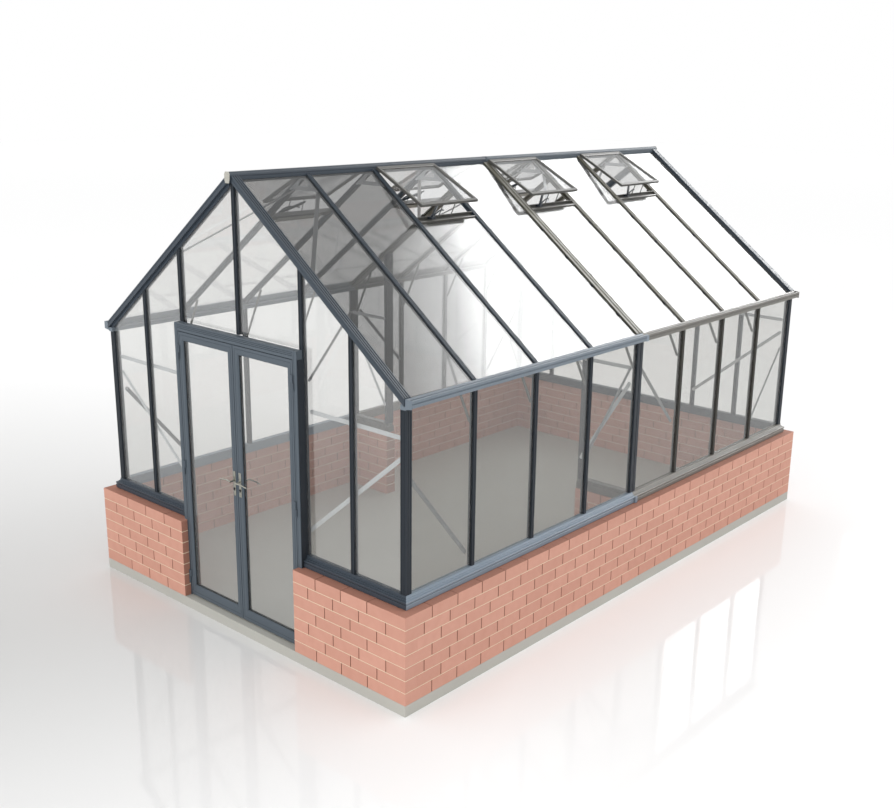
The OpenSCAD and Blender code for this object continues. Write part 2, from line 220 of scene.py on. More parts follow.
def brick_clay():
    """Pressed salmon brick: sanded faces of slightly varied tone, and darker beds and ends, a
    painted shade.
    """
    f = Finish("brick_clay", Specular_IOR_Level=0.25)
    speckle = f.noise(420.0, 4.0)
    cloud = f.noise(16.0, 5.0)
    tone = f.attribute("tone")
    # The dark end of this mix is painted shade on the tops and open ends of bricks; faces stay
    # near the light end, at a random tone.
    body = f.mix(tone, srgb(158, 108, 91), srgb(212, 159, 141))
    sanded = f.mix((speckle - 0.35) * 0.5, body, srgb(226, 178, 158))
    f.set("Base Color", f.mix((cloud - 0.5) * 0.6 + 0.1, sanded, srgb(190, 134, 116)))
    f.set("Roughness", 0.82 + 0.2 * (speckle - 0.5))
    f.bump(speckle + cloud * 0.6, 0.0012, 0.6)
    return f.material


def mortar(name, dark, light):
    """Sandy mortar between two tones."""
    f = Finish(name, Specular_IOR_Level=0.2)
    sand = f.noise(650.0, 4.0)
    f.set("Base Color", f.mix(sand, dark, light))
    f.set("Roughness", 0.85 + 0.15 * (sand - 0.5))
    f.bump(sand, 0.0015, 0.7)
    return f.material


def concrete():
    """Pale cast concrete with a slow cloud and fine sand."""
    f = Finish("cast_concrete", Specular_IOR_Level=0.3)
    cloud = f.noise(1.6, 6.0)
    sand = f.noise(240.0, 5.0)
    tone = f.mix(cloud, srgb(176, 175, 168), srgb(192, 191, 184))
    f.set("Base Color", f.mix((sand - 0.5) * 0.5, tone, srgb(150, 148, 141)))
    f.set("Roughness", 0.62 + 0.25 * (cloud - 0.5) + 0.1 * (sand - 0.5))
    f.bump(sand + cloud * 0.4, 0.0009, 0.5)
    return f.material


def glazing(name, tint, film, gloss, roughness=0.02):
    """Clear toughened glass: tinted where light goes through, a mirror where it glances off."""
    f = Finish(name, Base_Color=srgb(235, 236, 236), Metallic=0.7, Roughness=roughness)
    clear = f.node("ShaderNodeBsdfTransparent", {}, {"Color": tint})
    away = Value(f, f.node("ShaderNodeLayerWeight", {}, {"Blend": 0.5}).outputs["Facing"])
    dust = f.noise(1.1, 3.0)
    amount = film + gloss * away ** 5 + 0.02 * (dust - 0.5)
    pane = f.node("ShaderNodeMixShader", {}, [amount, clear.outputs[0], f.shader.outputs[0]])
    f.tree.links.new(pane.outputs[0], f.output.inputs["Surface"])
    return f.material


def bright_metal(name, tone, roughness):
    """Plated or mill-finished metal with drawn grain."""
    f = Finish(name, Metallic=1.0)
    grain = f.noise(160.0, 3.0, (1, 1, 0.05))
    smear = f.noise(9.0, 3.0)
    f.set("Base Color", f.mix(smear, tone, srgb(196, 195, 186)))
    f.set("Roughness", roughness + 0.12 * (grain - 0.5) + 0.08 * (smear - 0.5))
    f.bump(grain, 0.0001, 0.3)
    return f.material


def rubber():
    """Black gasket rubber with a fine grain."""
    f = Finish("gasket_rubber", Base_Color=srgb(26, 27, 29), Specular_IOR_Level=0.3)
    fine = f.noise(700.0)
    f.set("Roughness", 0.7 + 0.2 * (fine - 0.5))
    f.bump(fine, 0.0002, 0.4)
    return f.material


def end_cap_plastic():
    """Pale moulded plastic of the ridge caps and drip plates."""
    f = Finish("end_cap_plastic", Base_Color=srgb(178, 176, 167))
    fine = f.noise(500.0)
    f.set("Roughness", 0.5 + 0.15 * (fine - 0.5))
    f.bump(fine, 0.0002, 0.4)
    return f.material


DARK = coated_metal("frame_coat", srgb(38, 43, 49), srgb(52, 58, 65))
REAR_BAR = coated_metal("side_bar_coat_rear", srgb(56, 55, 51), srgb(74, 72, 67))
DOOR = coated_metal("door_coat", srgb(78, 87, 96), srgb(94, 103, 111), 0.45)
FRONT_RAIL = coated_metal("eaves_coat_front", srgb(100, 111, 121), srgb(124, 134, 144), 0.36, 0.4)
REAR_RAIL = coated_metal("eaves_coat_rear", srgb(98, 96, 91), srgb(120, 117, 111), 0.4, 0.4)
FRONT_ROOF = coated_metal("roof_coat_front", srgb(50, 58, 67), srgb(72, 81, 91), 0.38, 0.3)
REAR_ROOF = coated_metal("roof_coat_rear", srgb(86, 84, 75), srgb(112, 109, 98), 0.4, 0.3)
FRONT_SILL = coated_metal("side_sill_coat_front", srgb(120, 133, 146), srgb(142, 155, 168),
                          0.36, 0.4)
REAR_SILL = coated_metal("side_sill_coat_rear", srgb(112, 110, 105), srgb(136, 133, 127), 0.4, 0.4)
SILVER = coated_metal("brace_coat", srgb(186, 190, 194), srgb(212, 215, 218), 0.4, 0.4)
SIDE_BRACE = coated_metal("side_brace_coat", srgb(116, 119, 122), srgb(140, 143, 146), 0.4, 0.4)
STAY = coated_metal("vent_coat", srgb(78, 78, 75), srgb(104, 103, 99), 0.4, 0.4)
CHROME = bright_metal("handle_plate_metal", srgb(150, 149, 138), 0.24)
RUBBER = rubber()
END_CAP = end_cap_plastic()
BRICK = brick_clay()
BED_MORTAR = mortar("bed_mortar", srgb(222, 200, 172), srgb(240, 220, 194))
PERPEND = mortar("perpend_mortar", srgb(124, 92, 76), srgb(154, 116, 98))
CONCRETE = concrete()
GLASS = glazing("glass", (0.965, 0.965, 0.96, 1), 0.09, 0.88)
FRONT_GLASS = glazing("front_glass", (0.965, 0.965, 0.96, 1), 0.16, 0.88)
SIDE_GLASS = glazing("side_glass", (0.86, 0.86, 0.85, 1), 0.1, 0.88)
VENT_GLASS = glazing("vent_glass", (0.875, 0.875, 0.875, 1), 0.09, 0.88)
ROOF_GLASS = glazing("roof_glass", (0.56, 0.56, 0.56, 1), 0.08, 0.88, 0.11)


# --- Shapes --------------------------------------------------------------------------------


def block(shape, low, high, bevel=0.0, material=0):
    """Adds a box between two corners, its edges softened."""
    part = bmesh.new()
    low, high = Vector(low), Vector(high)
    bmesh.ops.create_cube(part, size=1.0)
    bmesh.ops.scale(part, vec=high - low, verts=part.verts)
    bmesh.ops.translate(part, vec=(low + high) / 2, verts=part.verts)
    soften(part, bevel)
    join(shape, part, material)


def soften(part, width):
    """Bevels every edge of a part, if it is given a width."""
    if width:
        bmesh.ops.bevel(part, geom=part.edges[:], offset=width, segments=1, profile=0.5,
                        affect="EDGES", material=-1)


def join(shape, part, material=0):
    """Moves a finished part into a shape."""
    bmesh.ops.recalc_face_normals(part, faces=part.faces)
    for face in part.faces:
        face.material_index = material
    mesh = bpy.data.meshes.new("part")
    part.to_mesh(mesh)
    part.free()
    shape.from_mesh(mesh)
    bpy.data.meshes.remove(mesh)


def mirrored(half):
    """Whole outline from its right half, listed from the outer middle to the inner middle."""
    back = [(-u, v) for u, v in reversed(half) if u > 0]
    return half + back


def extrusion(outline, start, across, out, run, cuts=()):
    """A straight run of an outline in millimetres, trimmed by planes (point, outward normal)."""
    part = bmesh.new()
    corners = [part.verts.new(start + across * (u * MM) + out * (v * MM)) for u, v in outline]
    face = part.faces.new(corners)
    grown = bmesh.ops.extrude_face_region(part, geom=[face])["geom"]
    ends = [g for g in grown if isinstance(g, bmesh.types.BMVert)]
    bmesh.ops.translate(part, vec=run, verts=ends)
    for point, normal in cuts:
        trim(part, point, normal)
    return part


def trim(part, point, normal):
    """Cuts a part off beyond a plane and closes it."""
    everything = part.verts[:] + part.edges[:] + part.faces[:]
    cut = bmesh.ops.bisect_plane(part, geom=everything, dist=TINY, plane_co=Vector(point),
                                 plane_no=Vector(normal).normalized(),
                                 clear_outer=True)["geom_cut"]
    rim = [g for g in cut if isinstance(g, bmesh.types.BMEdge)]
    bmesh.ops.holes_fill(part, edges=rim, sides=0)


def rod(shape, start, end, radius, material=0, sides=16, bevel=0.0):
    """A round bar from one point to another."""
    part = bmesh.new()
    along = end - start
    bmesh.ops.create_cone(part, cap_ends=True, segments=sides, radius1=radius, radius2=radius,
                          depth=along.length)
    if bevel:
        rims = [e for e in part.edges if abs(e.verts[0].co.z - e.verts[1].co.z) < TINY]
        bmesh.ops.bevel(part, geom=rims, offset=bevel, segments=2, profile=0.5,
                        affect="EDGES", material=-1)
    turn = along.to_track_quat("Z", "Y").to_matrix().to_4x4()
    bmesh.ops.transform(part, matrix=Matrix.Translation((start + end) / 2) @ turn,
                        verts=part.verts)
    join(shape, part, material)


def screw(shape, at, out, radius=5 * MM, height=3.5 * MM, material=0):
    """A domed pan head standing on a face."""
    rod(shape, at, at + out * height, radius, material, 12, height * 0.45)


def bolt(shape, at, out, material=0):
    """A hexagon nut on its washer."""
    rod(shape, at, at + out * 1.5 * MM, 8 * MM, material, 16)
    rod(shape, at + out * 1.5 * MM, at + out * 7 * MM, 6 * MM, material, 6, 0.8 * MM)


def framed(shape, corner, across, up, out, size, widths, section, material=0):
    """Four mitred lengths round an opening. Their widths run bottom, right, top, left."""
    wide, high = size
    bottom, right, top, left = widths
    rim = [corner, corner + across * wide, corner + across * wide + up * high, corner + up * high]
    hole = [rim[0] + across * left + up * bottom, rim[1] - across * right + up * bottom,
            rim[2] - across * right - up * top, rim[3] + across * left - up * top]
    inward = (up, -across, -up, across)
    for k, width in enumerate(widths):
        after = (k + 1) % 4
        inside = (rim[k] + rim[after]) / 2 + inward[k] * width * 0.4
        mitres = []
        for outer, inner in ((rim[k], hole[k]), (rim[after], hole[after])):
            normal = (inner - outer).cross(out).normalized()
            mitres.append((outer, normal if (inside - outer).dot(normal) < 0 else -normal))
        run = rim[after] - rim[k]
        join(shape, extrusion(section(width / MM), rim[k], inward[k], out, run, mitres), material)


def strap(shape, start, end, face, width=29, thick=STRAP_THICK, slot=0):
    """A flat strap with round ends and a bolt in each, standing off a plane along face."""
    along = (end - start).normalized()
    radius, length = width / 2, (end - start).length / MM
    arc = [math.radians(a) for a in range(-90, 91, 30)]
    outline = [(length - radius + radius * math.cos(a), radius * math.sin(a)) for a in arc]
    outline += [(radius - radius * math.cos(a), -radius * math.sin(a)) for a in arc]
    part = extrusion(outline, start, along, face.cross(along), face * (thick * MM))
    soften(part, 0.5 * MM)
    join(shape, part, slot)
    for at in (start + along * radius * MM, end - along * radius * MM):
        bolt(shape, at + face * (thick * MM), face)


def flip(shape, axis):
    """A shape turned to the other hand across the middle plane of an axis."""
    scale = [1, 1, 1]
    scale["XYZ".index(axis)] = -1
    bmesh.ops.scale(shape, vec=scale, verts=shape.verts)
    bmesh.ops.reverse_faces(shape, faces=shape.faces)
    return shape


def piece(name, shape, materials, body=ROOT, stands_for=()):
    """Finishes a shape as one object of the model."""
    mesh = bpy.data.meshes.new(name)
    shape.to_mesh(mesh)
    shape.free()
    for material in materials:
        mesh.materials.append(material)
    mesh.shade_smooth()
    mesh.set_sharp_from_angle(angle=SHARP_ANGLE)
    made = bpy.data.objects.new(name, mesh)
    bpy.context.scene.collection.objects.link(made)
    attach(made, body)
    if stands_for:
        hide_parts(*stands_for)


def dress(node, material):
    """Gives a carried-over CAD node its material."""
    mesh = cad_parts[node].data
    mesh.materials.clear()
    mesh.materials.append(material)


# --- Brickwork -----------------------------------------------------------------------------

# Seven courses. Joints are measured across, and insets are behind the faces of the bricks.
COURSES = 7
COURSE = (WALL_TOP - SLAB_TOP) / COURSES
BRICK_PITCH = 235.5 * MM
BED = 5 * MM
PERP = 7 * MM
ARRIS = 1 * MM
BED_INSET = 1.2 * MM
CORE_INSET = 4 * MM
# Tones of beds and of open ends: painted shade, darker than any face.
SHADED_BED_TONE = 0.08
SHADED_END_TONE = 0.15
SHORTEST = 95 * MM
FACE_TONE = 0.8
TONE_SPREAD = 0.2
# How square to an axis a face is before it counts as a bed or an end.
SQUARE_ON = 0.9
# Distance from a corner to the first joint, by course from the top, on a gable and on a side.
GABLE_LEADS = (327 * MM, 165 * MM, 242 * MM)
SIDE_LEADS = (238 * MM, 167 * MM, 86 * MM)


def new_brickwork():
    """An empty shape whose faces carry a tone."""
    shape = bmesh.new()
    shape.faces.layers.float.new("tone")
    return shape


def tone_and_shade_last(shape, before, tone, along=None):
    """Tones the faces just added. Beds, and ends along an axis, get a darker tone, a painted
    shade.
    """
    layer = shape.faces.layers.float["tone"]
    shape.faces.ensure_lookup_table()
    for index in range(before, len(shape.faces)):
        face = shape.faces[index]
        face[layer] = FACE_TONE + TONE_SPREAD * tone
        if abs(face.normal.z) > SQUARE_ON:
            face[layer] = SHADED_BED_TONE
        elif along is not None and abs(face.normal[along]) > SQUARE_ON:
            face[layer] = SHADED_END_TONE


def course_heights(course):
    """Bottom and top of the bricks in a course, counted from the top."""
    top = WALL_TOP - course * COURSE - (BED / 2 if course else 0)
    bottom = WALL_TOP - (course + 1) * COURSE + (BED / 2 if course < COURSES - 1 else 0)
    return bottom, top


def joints(lead, length):
    """Joint positions along a wall, from a lead at its start."""
    places, at = [], lead
    while at < length - SHORTEST:
        places.append(at)
        at += BRICK_PITCH
    return places


def laid(shape, rng, low, high, along):
    """One brick between two corners, with half a perpend taken off each end along an axis."""
    low, high = Vector(low), Vector(high)
    low[along] += PERP / 2
    high[along] -= PERP / 2
    before = len(shape.faces)
    block(shape, low, high, ARRIS)
    tone_and_shade_last(shape, before, rng.random(), along)


def corner_brick(shape, rng, sx, sy, along_x, along_y, bottom, top):
    """A corner unit with an arm along each wall, the second one dropped where it is short."""
    t = WALL_T / MM
    a, b = (along_x - PERP / 2) / MM, (along_y - PERP / 2) / MM
    outline = [(0, 0), (a, 0), (a, t), (0, t)]
    if b > t:
        outline[3:] = [(t, t), (t, b), (0, b)]
    corner = Vector((sx * WALL_X, sy * WALL_Y, bottom))
    part = extrusion(outline, corner, EAST * -sx, NORTH * -sy, UP * (top - bottom))
    soften(part, ARRIS)
    before = len(shape.faces)
    join(shape, part)
    tone_and_shade_last(shape, before, rng.random())


def core(shape, low, high):
    """The mortar of a wall: dark heart, with the pale bed joints nearly flush."""
    low, high = Vector(low), Vector(high)
    inset = Vector((CORE_INSET, CORE_INSET, 0))
    block(shape, low + inset, high - inset - UP * CORE_INSET, 0, 2)
    inset = Vector((BED_INSET, BED_INSET, 0))
    for course in range(1, COURSES):
        z = WALL_TOP - course * COURSE
        bottom, top = low + inset, high - inset
        bottom.z, top.z = z - BED / 2, z + BED / 2
        block(shape, bottom, top, 0, 1)


def gable_wall(name, side, start, end, node, rng, first=1):
    """Brickwork of a gable between two X places, its joints set out from the first corner."""
    shape = new_brickwork()
    y0, y1 = sorted((side * WALL_Y, side * (WALL_Y - WALL_T)))
    for course in range(COURSES):
        bottom, top = course_heights(course)
        lead = GABLE_LEADS[course % 3]
        places = [first * (WALL_X - d) for d in joints(lead, abs(end - start))]
        limits = sorted([start, end] + places)
        for left, right in zip(limits, limits[1:]):
            turn = 1 if right > WALL_X - TINY else -1 if left < -WALL_X + TINY else 0
            if turn:
                side_lead = SIDE_LEADS[course % 3] if side < 0 else rear_lead(course)
                corner_brick(shape, rng, turn, side, right - left, side_lead, bottom, top)
            else:
                laid(shape, rng, (left, y0, bottom), (right, y1, top), 0)
    core(shape, (start, y0, SLAB_TOP), (end, y1, WALL_TOP))
    piece(name, shape, [BRICK, BED_MORTAR, PERPEND], stands_for=[node])


def rear_lead(course):
    """Distance from a rear corner to the last joint of a side wall."""
    return 2 * WALL_Y - joints(SIDE_LEADS[course % 3], 2 * WALL_Y)[-1]


def side_wall(name, side, node, rng):
    """Brickwork of a long side between the corner units."""
    shape = new_brickwork()
    x0, x1 = sorted((side * WALL_X, side * (WALL_X - WALL_T)))
    for course in range(COURSES):
        bottom, top = course_heights(course)
        places = [-WALL_Y + d for d in joints(SIDE_LEADS[course % 3], 2 * WALL_Y)]
        if SIDE_LEADS[course % 3] < WALL_T:
            places[0] = -WALL_Y + WALL_T - PERP / 2
        for near, far in zip(places, places[1:]):
            laid(shape, rng, (x0, near, bottom), (x1, far, top), 1)
    core(shape, (x0, -WALL_Y + WALL_T, SLAB_TOP), (x1, WALL_Y - WALL_T, WALL_TOP))
    piece(name, shape, [BRICK, BED_MORTAR, PERPEND], stands_for=[node])


def return_walls(rng):
    """The two short returns at the middle of the house."""
    low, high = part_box("mid_walls")
    inner, outer = RETURN_END, high.x
    shape = new_brickwork()
    for side in (-1, 1):
        for course in range(COURSES):
            bottom, top = course_heights(course)
            lead = (BRICK_PITCH, BRICK_PITCH / 2)[course % 2]
            places = [outer] + [outer - d for d in joints(lead, outer - inner)] + [inner]
            for far, near in zip(places, places[1:]):
                x0, x1 = sorted((side * near, side * far))
                laid(shape, rng, (x0, low.y, bottom), (x1, high.y, top), 0)
        x0, x1 = sorted((side * inner, side * outer))
        core(shape, (x0, low.y, SLAB_TOP), (x1, high.y, WALL_TOP))
    piece("return_brickwork", shape, [BRICK, BED_MORTAR, PERPEND],
          stands_for=["mid_walls"])


def brickwork():
    """All the walls, drawing their brick tones from one source."""
    rng = random.Random(7)
    gable_wall("front_brickwork_right", -1, WALL_GAP, WALL_X, "brick_front_right", rng)
    gable_wall("front_brickwork_left", -1, -WALL_X, -WALL_GAP, "brick_front_left", rng, -1)
    gable_wall("rear_brickwork", 1, -WALL_X, WALL_X, "brick_rear", rng)
    side_wall("side_brickwork_right", 1, "brick_side_right", rng)
    side_wall("side_brickwork_left", -1, "brick_side_left", rng)
    return_walls(rng)


# --- Sills, bars and posts -----------------------------------------------------------------

# Sill section, in millimetres: depth inward, height, and reach outward.
SILL_DEEP = 38
SILL_HIGH = (SILL_TOP - WALL_TOP) / MM
SILL_EDGE = SILL_OUT / MM
# Out from the glazing face and up from the wall: two drip ribs, then steps up to the glass.
SILL_OUTLINE = [
    (-SILL_DEEP, 0), (SILL_EDGE - 6, 0), (SILL_EDGE - 6, 5), (SILL_EDGE - 2, 5),
    (SILL_EDGE, 7), (SILL_EDGE, 30), (SILL_EDGE - 2, 32), (SILL_EDGE - 7, 32),
    (SILL_EDGE - 7, 37), (SILL_EDGE - 1, 37), (SILL_EDGE, 39), (SILL_EDGE, 49),
    (SILL_EDGE - 2, 51), (14, 53), (14, 58), (12, 60), (5, 61), (5, 67), (2, 69),
    (2, SILL_HIGH), (-8, SILL_HIGH), (-9, SILL_HIGH - 3), (-SILL_DEEP, SILL_HIGH - 3),
]
# Half outline of a wall bar: across, and out from the glazing face (0) to the inside.
BAR_HALF = [(0, -3), (1.6, -3), (3, 0), (12, 0), (15, -2.5), (15, -13.5), (4, -13.5),
            (4, -19), (17, -19), (17, -37.5), (14.5, -40), (6, -40), (5, -37), (0, -37)]
# Half outline of a roof bar, seen from outside: middle rib, two channels, two edge ribs.
ROOF_HALF = [(0, 0), (2, 0), (3.2, -3.5), (9, -3.5), (10.5, 0), (13.5, 0), (15, -2),
             (15, -12), (4, -12), (4, -24), (17, -24), (17, -34), (15, -36.4), (0, -36.4)]
# The rear roof bars are this many times as wide as the front ones.
REAR_WIDER = 1.28
# How far the heads of the gable bars stay below the apex.
VERGE_COVER = 58 * MM


def sills():
    """Mitred sills round the wall, in front and rear lengths, open at the doors."""
    base = Vector((0, 0, WALL_TOP))
    for label, along, material in (("front", -1, FRONT_SILL), ("rear", 1, REAR_SILL)):
        shape = bmesh.new()
        for side in (-1, 1):
            out = EAST * side
            start = base + out * GLAZE_X + NORTH * along * HALF_GAP
            run = NORTH * along * (GLAZE_Y + SILL_OUT)
            mitre = ((side * GLAZE_X, along * GLAZE_Y, 0), (-side, along, 0))
            join(shape, extrusion(SILL_OUTLINE, start, out, UP, run, [mitre]))
        piece("side_sills_" + label, shape, [material],
              stands_for=["sill_left", "sill_right"] if along > 0 else [])
        shape = bmesh.new()
        inner = DOOR_POST_X + BAR_W / 2 if along < 0 else HALF_GAP
        for side in (-1, 1):
            out = NORTH * along
            start = base + out * GLAZE_Y + EAST * side * inner
            run = EAST * side * (GLAZE_X + SILL_OUT - inner)
            mitre = ((side * GLAZE_X, along * GLAZE_Y, 0), (side, -along, 0))
            join(shape, extrusion(SILL_OUTLINE, start, out, UP, run, [mitre]))
        piece("gable_sill_" + label, shape, [FRONT_ROOF], stands_for=["sill_" + label])
    return_sills()


def return_sills():
    """Stepped sills over the brick returns: a wide foot, and a narrower top under the post."""
    shape = bmesh.new()
    low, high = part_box("mid_sills")
    for side in (-1, 1):
        x0, x1 = sorted((side * RETURN_END, side * high.x))
        block(shape, (x0, low.y, low.z), (x1, high.y, high.z - 24 * MM), 2 * MM)
        block(shape, (x0 + 2 * MM, low.y + 10 * MM, high.z - 25 * MM),
              (x1 - 2 * MM, high.y - 10 * MM, high.z), 2 * MM)
    piece("return_sills", shape, [STAY], stands_for=["mid_sills"])


def upright(outline, at, out, top, cuts=()):
    """A standing bar from a foot to a height."""
    across = UP.cross(out)
    return extrusion(outline, at, across, out, UP * (top - at.z), cuts)


def side_bars():
    """Bars of the long sides, single ones and a doubled one, the rear ones in the rear coat."""
    bar = mirrored(BAR_HALF)
    pair = mirrored([(0, -5), (3, -5), (3, 0), (34, 0), (37, -2.5), (37, -13.5), (4, -13.5),
                     (4, -19), (37, -19), (37, -37.5), (34.5, -40), (0, -40)])
    for side, label in ((1, "right"), (-1, "left")):
        shape = bmesh.new()
        for y in SINGLES:
            at = Vector((side * GLAZE_X, y, BAR_FOOT))
            join(shape, upright(bar, at, EAST * side, BAR_TOP), 0 if y < 0 else 1)
        at = Vector((side * GLAZE_X, 0, BAR_FOOT))
        join(shape, upright(pair, at, EAST * side, BAR_TOP))
        piece("side_bars_" + label + "_dressed", shape, [DARK, REAR_BAR],
              stands_for=["side_bars_" + label])


def gable_bars():
    """Bars of the gables, cut at the head to the slope of the roof."""
    bar = mirrored(BAR_HALF)
    under = APEX - VERGE_COVER
    for along, label in ((-1, "front"), (1, "rear")):
        shape = bmesh.new()
        low, head = (SLAB_TOP, FRAME[1].z) if along < 0 else (BAR_FOOT, BAR_FOOT)
        places = [(s * DOOR_POST_X, low) for s in (-1, 1)]
        places += [(s * MID_X, BAR_FOOT) for s in (-1, 1)] + [(0, head)]
        for x, z in places:
            slopes = (-1, 1) if x == 0 else (math.copysign(1, x),)
            cuts = [((0, 0, under), (SLOPE * s, 0, 1)) for s in slopes]
            at = Vector((x, along * GLAZE_Y, z))
            join(shape, upright(bar, at, NORTH * along, APEX, cuts))
        piece("gable_bars_" + label + "_dressed", shape, [DARK],
              stands_for=["gable_bars_" + label])


def corner_posts():
    """Square posts with a rounded corner rib between two grooved faces."""
    outline = [(0, -4), (4, 0), (14, 0), (15.5, -3), (18, -3), (19.5, 0), (33, 0), (34.5, -3),
               (37, -3), (38.5, 0), (48, 0), (48, -48), (0, -48), (0, -38.5), (3, -37),
               (3, -34.5), (0, -33), (0, -19.5), (3, -18), (3, -15.5), (0, -14)]
    shape = bmesh.new()
    for sx in (-1, 1):
        for sy in (-1, 1):
            at = Vector((sx * GLAZE_X, sy * GLAZE_Y, BAR_FOOT))
            part = extrusion(outline, at, EAST * -sx, NORTH * sy, UP * (BAR_TOP - at.z))
            join(shape, part)
    piece("corner_posts_dressed", shape, [DARK], stands_for=["corner_posts"])


# --- Roof ----------------------------------------------------------------------------------


def slope_axes(side):
    """Down the slope, and straight out of the roof, on one side."""
    down = Vector((side * math.cos(PITCH), 0, -math.sin(PITCH)))
    out = Vector((side * math.sin(PITCH), 0, math.cos(PITCH)))
    return down, out


def on_roof(side, x, y):
    """A point of the roof surface."""
    return Vector((side * x, y, roof_z(x)))


def sloping(outline, side, x0, x1, y):
    """A run of an outline down the roof between two X places."""
    down, out = slope_axes(side)
    start = on_roof(side, x0, y)
    run = down * ((x1 - x0) / math.cos(PITCH))
    return extrusion(outline, start, NORTH, out, run)


def roof_bars():
    """Ribbed roof bars, broader in the rear half, and a doubled one in the middle."""
    single = mirrored(ROOF_HALF)
    broad = mirrored([(across * REAR_WIDER, out) for across, out in ROOF_HALF])
    double = mirrored([(0, -6), (3, -6), (4, 0), (7, 0), (8.5, -3.5), (31, -3.5), (32.5, 0),
                       (36, 0), (38, -2), (38, -12), (4, -12), (4, -24), (38, -24), (38, -34),
                       (36, -36.4), (0, -36.4)])
    over_gutter = 8 * MM
    x0, x1 = ROOF_BARS[0].x, ROOF_BARS[1].x + over_gutter
    for side, label in ((1, "right"), (-1, "left")):
        shape = bmesh.new()
        for y in SINGLES:
            rear = y > 0
            join(shape, sloping(broad if rear else single, side, x0, x1, y), int(rear))
        join(shape, sloping(double, side, x0, x1, 0), 1)
        piece("roof_bars_" + label + "_dressed", shape, [FRONT_ROOF, REAR_ROOF],
              stands_for=["roof_bars_" + label])


def verges():
    """Wide ribbed bars along the gable edges of the roof, run long and trimmed to their ends."""
    outline = [(-30, 9), (-28, 12), (-21, 12), (-20, 6), (-15, 6), (-14, 12), (-4, 12),
               (-3, 7), (3, 7), (4, 12), (14, 12), (15, 6), (20, 6), (21, 12), (28, 12),
               (30, 9), (30, -45), (-6, -45), (-8, -43), (-8, -26), (-30, -26), (-30, -8),
               (-27, -6), (-27, -1), (-30, 1)]
    low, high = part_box("verge_bars_front")
    x0, x1 = RIDGE[1].x + 1 * MM, high.x
    foot = GUTTER[0].z + 22 * MM
    overlong = 2.2
    for along, label in ((-1, "front"), (1, "rear")):
        shape = bmesh.new()
        middle = along * (low.y + high.y) / -2
        for side in (-1, 1):
            down, out = slope_axes(side)
            start = on_roof(side, 0, middle)
            cuts = [((side * x0, 0, 0), (-side, 0, 0)), ((side * x1, 0, 0), (side, 0, 0)),
                    ((0, 0, foot), (0, 0, -1))]
            join(shape, extrusion(outline, start, NORTH * -along, out, down * overlong, cuts))
        piece("verges_" + label, shape, [FRONT_ROOF],
              stands_for=["verge_bars_" + label])


# Half length of the cover over the joint of the ridge.
COVER_HALF = 11 * MM


def ridge():
    """The ridge beam in two lengths that meet under a joint cover, and its end caps."""
    top = (RIDGE[1].z - APEX) / MM
    outline = mirrored([(0, top), (13, top), (16, top - 2), (17, top - 6), (22, top - 9),
                        (24, top - 13), (24, top - 26), (21, top - 28), (21, top - 31),
                        (24, top - 33), (24, top - 44), (16, -51), (0, -51)])
    start = Vector((0, 0, APEX))
    half = RIDGE[1].y
    for along, label in ((-1, "front"), (1, "rear")):
        shape = bmesh.new()
        part = extrusion(outline, start + NORTH * along * HALF_GAP, EAST, UP,
                         NORTH * along * (half - HALF_GAP))
        join(shape, part)
        if along > 0:
            for reach, low, high in ((25, top - 34, top - 6), (17.5, top - 10, top + 1.2)):
                block(shape, (-reach * MM, -COVER_HALF, APEX + low * MM),
                      (reach * MM, COVER_HALF, APEX + high * MM), 1 * MM)
        piece("ridge_" + label, shape, [FRONT_ROOF if along < 0 else DOOR],
              stands_for=["ridge"] if along > 0 else [])
    shape = bmesh.new()
    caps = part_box("ridge_end_caps")
    for along in (-1, 1):
        part = extrusion(mirrored([(0, top + 2), (15, top + 2), (25, top - 13), (25, top - 45),
                                   (17, -53), (0, -53)]),
                         start + NORTH * along * half, EAST, UP,
                         NORTH * along * (caps[1].y - half))
        soften(part, 1.2 * MM)
        join(shape, part)
        for x in (-10, 10):
            screw(shape, Vector((x * MM, along * caps[1].y, APEX - 20 * MM)), NORTH * along,
                  4 * MM, 1.5 * MM)
    piece("ridge_caps", shape, [END_CAP], stands_for=["ridge_end_caps"])


CAP_THICK = 3 * MM


def gutters():
    """Eaves beam with a hooked gutter lip, in two lengths, with a cap at each corner."""
    lift = roof_z(GLAZE_X)
    base = (GUTTER[0].z - lift) / MM
    lip = (GUTTER[1].x - GLAZE_X) / MM
    outline = [(-40, base), (0, base), (1, base + 9), (8, base + 9), (8, base + 18),
               (lip - 14, base + 18), (lip - 12, base + 20), (lip - 2, base + 20),
               (lip, base + 22), (lip, base + 42), (lip - 5, base + 43), (lip - 5, base + 48),
               (lip, base + 49), (lip, base + 66), (lip - 2, base + 68), (lip - 9, base + 68),
               (lip - 9, base + 61), (lip - 7, base + 26), (14, base + 26), (14, base + 60),
               (9, base + 67), (0, base + 69), (0, base + 30), (-40, base + 30)]
    cap = [(0, base + 8), (lip - 1, base + 14), (lip, base + 68), (12, base + 69), (0, base + 69)]
    end = GUTTER[1].y
    for along, label, material in ((-1, "front", FRONT_RAIL), (1, "rear", REAR_RAIL)):
        shape = bmesh.new()
        for side in (-1, 1):
            start = Vector((side * GLAZE_X, along * HALF_GAP, lift))
            run = NORTH * along * (end - CAP_THICK - HALF_GAP)
            join(shape, extrusion(outline, start, EAST * side, UP, run))
            start = Vector((side * GLAZE_X, along * (end - CAP_THICK), lift))
            join(shape, extrusion(cap, start, EAST * side, UP, NORTH * along * CAP_THICK))
        piece("gutters_" + label, shape, [material],
              stands_for=["gutter_left", "gutter_right"] if along > 0 else [])
    joint_covers(lift)


